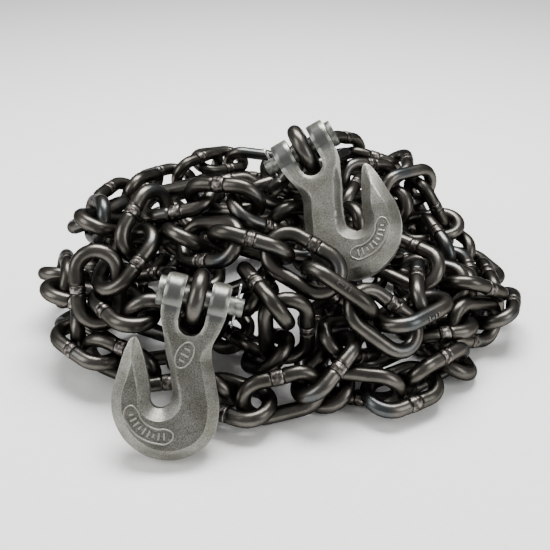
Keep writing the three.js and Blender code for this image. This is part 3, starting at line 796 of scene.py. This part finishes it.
# The oval panel on the shank, in mm
OVAL_CENTRE = (0.6, -31.5)
OVAL_HALF_WIDTH = 4.4
OVAL_HALF_HEIGHT = 7.4
OVAL_LEAN = math.radians(-14)
OVAL_MARKS = ((-3.4, 1.0, 3.2), (0.0, 1.0, 4.4), (3.4, 1.0, 3.2))  # height, length and width of each


def raised_rim(name, points, face):
    """A round bead half sunk in one face of the hook, through a ring of points in mm."""
    return round_wire(name, [(x * MM, face, z * MM) for x, z in points], BEAD,
                      closed=True, facets=3, steps=8)


def raised_mark(name, place, length, width, turn, face):
    """A small raised bar on one face of the hook, in mm, turned in the face."""
    return rounded_bar(name, (width * MM, MARK_THICKNESS * MM, length * MM),
                       (place[0] * MM, face, place[1] * MM), turn, MARK_EDGE * MM)


def bowl_point(radius, angle):
    """A point on the cheek in mm, from its distance and its direction in degrees about the bowl."""
    return (KIDNEY_CENTRE[0] + radius * math.cos(math.radians(angle)),
            KIDNEY_CENTRE[1] + radius * math.sin(math.radians(angle)))


def kidney_ring():
    """The curved panel's rim: a slot with round ends about the bowl's middle."""
    sweep = KIDNEY_END - KIDNEY_START
    along = [KIDNEY_START + sweep * k / KIDNEY_STEPS for k in range(KIDNEY_STEPS + 1)]
    middle = (KIDNEY_OUTER + KIDNEY_INNER) / 2
    round_end = math.degrees((KIDNEY_OUTER - KIDNEY_INNER) / 2 / middle)
    points = [bowl_point(KIDNEY_OUTER, angle) for angle in along]
    points.append(bowl_point(middle, KIDNEY_END + round_end))
    points += [bowl_point(KIDNEY_INNER, angle) for angle in reversed(along)]
    points.append(bowl_point(middle, KIDNEY_START - round_end))
    return points


def oval_point(x, z):
    """A point on the cheek in mm, from its place in the leaning oval panel."""
    return (OVAL_CENTRE[0] + x * math.cos(OVAL_LEAN) - z * math.sin(OVAL_LEAN),
            OVAL_CENTRE[1] + x * math.sin(OVAL_LEAN) + z * math.cos(OVAL_LEAN))


def cheek_marks():
    """The panels on the hook's cheeks, filled with plain raised bars that stand for its marks."""
    parts = []
    middle = (KIDNEY_INNER + KIDNEY_OUTER) / 2
    reach = KIDNEY_END - KIDNEY_START - 2 * KIDNEY_MARGIN
    for face in (-HOOK_HALF_THICKNESS, HOOK_HALF_THICKNESS):
        parts.append(raised_rim("panel_rim", kidney_ring(), face))
        pressed = face - math.copysign(PANEL_DEPTH, face)
        for k in range(KIDNEY_MARKS):
            angle = KIDNEY_START + KIDNEY_MARGIN + reach * k / (KIDNEY_MARKS - 1)
            length = MARK_LONG if k % 3 else MARK_SHORT
            turn = math.pi / 2 - math.radians(angle)
            place = bowl_point(middle, angle)
            parts.append(raised_mark("panel_bar", place, length, MARK_WIDTH, turn, pressed))
    turns = [t * math.pi / 6 for t in range(12)]
    oval = [oval_point(OVAL_HALF_WIDTH * math.cos(t), OVAL_HALF_HEIGHT * math.sin(t)) for t in turns]
    parts.append(raised_rim("oval_rim", oval, -HOOK_HALF_THICKNESS))
    for height, length, width in OVAL_MARKS:
        parts.append(raised_mark("oval_bar", oval_point(0, height), length, width,
                                 -OVAL_LEAN, -HOOK_HALF_THICKNESS))
    return parts


def model_hook(forging):
    hook = hook_body()
    cut(hook, cylinder("drill", PIN_SIDES, BORE_RADIUS, 60 * MM, (0, 0, 0), ALONG_PIN))
    smooth(hook, 38)
    hook = join([hook] + cheek_marks(), "hook")
    paint(hook, "ground", ear_grinding)
    hook.data.materials.clear()
    hook.data.materials.append(forging)
    for face in hook.data.polygons:
        face.material_index = 0
    return hook


GROUND_FOOT = (-11 * MM, -9.5 * MM)
GROUND_TOP = (5 * MM, 9 * MM)
GROUND_MOST = 0.85


def ear_grinding(at):
    """How much a point of the hook is ground: the ears are, in a band across the pin's bore."""
    return GROUND_MOST * ramp(at.z, *GROUND_FOOT) * (1 - ramp(at.z, *GROUND_TOP))


PIN_INTO_HEAD = 1 * MM  # the pin's cylinder runs this far into its head


def model_pin(pin_steel):
    """The clevis pin: round, with a flat disc head, a chamfered tip and a cross hole for the cotter."""
    head_face = -EAR_OUTER - HEAD_GAP
    shank_length = PIN_END - head_face
    pin = cylinder("pin", PIN_SIDES, PIN_RADIUS, shank_length + PIN_INTO_HEAD,
                   ((head_face - PIN_INTO_HEAD + PIN_END) / 2, 0, 0), ALONG_PIN)
    head = cylinder("head", HEAD_SIDES, HEAD_RADIUS, HEAD_THICKNESS,
                    (head_face - HEAD_THICKNESS / 2, 0, 0), ALONG_PIN)
    cut(pin, head, "UNION")
    cut(pin, cylinder("drill", PIN_SIDES, COTTER_HOLE, 30 * MM, (COTTER_PLACE, 0, 0), (0, 0, 0)))
    bevel = pin.modifiers.new("bevel", "BEVEL")
    bevel.width = 0.7 * MM
    bevel.segments = 3
    bevel.limit_method = "ANGLE"
    bevel.angle_limit = math.radians(55)
    apply_modifiers(pin)
    smooth(pin, 35)
    pin.data.materials.append(pin_steel)
    return pin


# The cotter's wire in mm, across (y) and up (z), from one bent leg round the eye to the other
COTTER_WIRE_ROUTE = ((6.2, -10.9), (3.8, -9.6), (1.6, -8.3), (0.75, -6.2), (0.66, 0), (0.66, 5.6), (1.5, 7.6),
                     (2.7, 9.6), (2.2, 12.2), (0, 13.0), (-2.1, 12.0), (-2.4, 9.6), (-1.4, 7.6), (-0.66, 5.6),
                     (-0.66, 0), (-0.6, -6.0), (0.1, -8.2), (2.2, -10.3), (4.2, -11.7))


def model_cotter(zinc):
    """A split pin: one wire folded into an eye and two legs, which are bent over together."""
    route = [(COTTER_PLACE, y * MM, z * MM) for y, z in COTTER_WIRE_ROUTE]
    cotter = round_wire("cotter", route, COTTER_WIRE, closed=False, facets=5, steps=6)
    smooth(cotter, 50)
    cotter.data.materials.append(zinc)
    return cotter


def hook_frame(end, face_sense):
    """A hook's own axes from its joint, which runs along the pin, and from its cheek's mount."""
    joint = next(j for j in frame["joints"] if j["name"] == f"{end}_hook_swing")
    mount = next(m for m in frame["record"]["mounts"] if m["name"] == f"{end}_hook_face")
    x = Vector(joint["axis"]).normalized()
    y = (face_sense * Vector(mount["axis"])).normalized()
    z = x.cross(y).normalized()
    y = z.cross(x)
    return Matrix.Translation(Vector(joint["pos_m"])) @ Matrix((x, y, z)).transposed().to_4x4()


def hang_hooks():
    hook = model_hook(blasted_forging())
    pin = model_pin(headed_pin_steel())
    cotter = model_cotter(zinc_plate())
    for end, face_sense in (("front", -1), ("rear", 1)):
        place = hook_frame(end, face_sense)
        put(hook, f"{end}_grab_hook", place, f"{end}_hook", f"{end}_hook")
        put(pin, f"{end}_headed_pin", place, f"{end}_clevis_pin", f"{end}_clevis_pin")
        put(cotter, f"{end}_split_pin", place, f"{end}_cotter_pin", f"{end}_clevis_pin")
    for source in (hook, pin, cotter):
        bpy.data.objects.remove(source)


# ---- Studio ---------------------------------------------------------------------------------------

def floor():
    bpy.ops.mesh.primitive_plane_add(size=6.0, location=(0, 0, 0))
    sheet = new_piece("floor")
    sheet.data.materials.append(studio_paper())


def softbox(name, place, aim, width, height, power):
    data = bpy.data.lights.new(name, "AREA")
    data.shape = "RECTANGLE"
    data.size = width
    data.size_y = height
    data.energy = power
    lamp = bpy.data.objects.new(name, data)
    lamp.location = place
    lamp.rotation_euler = (Vector(aim) - Vector(place)).to_track_quat("-Z", "Y").to_euler()
    bpy.context.collection.objects.link(lamp)


def studio():
    floor()
    softbox("top_softbox", (0.05, 0.25, 1.1), (0, 0, 0.05), 0.8, 0.5, 30)
    softbox("left_softbox", (-1.0, -0.5, 0.7), (0, 0, 0.06), 0.6, 0.9, 9)
    softbox("right_softbox", (0.9, -0.7, 0.6), (0, 0, 0.06), 0.5, 0.8, 6)
    world = bpy.data.worlds.new("studio")
    world.use_nodes = True
    sky = world.node_tree.nodes["Background"]
    sky.inputs["Color"].default_value = rgb("#ffffff")
    sky.inputs["Strength"].default_value = 0.45
    bpy.context.scene.world = world


# ---- Scene ----------------------------------------------------------------------------------------

place_camera()
lay_chain(drawn_wire_steel())
hang_hooks()
studio()
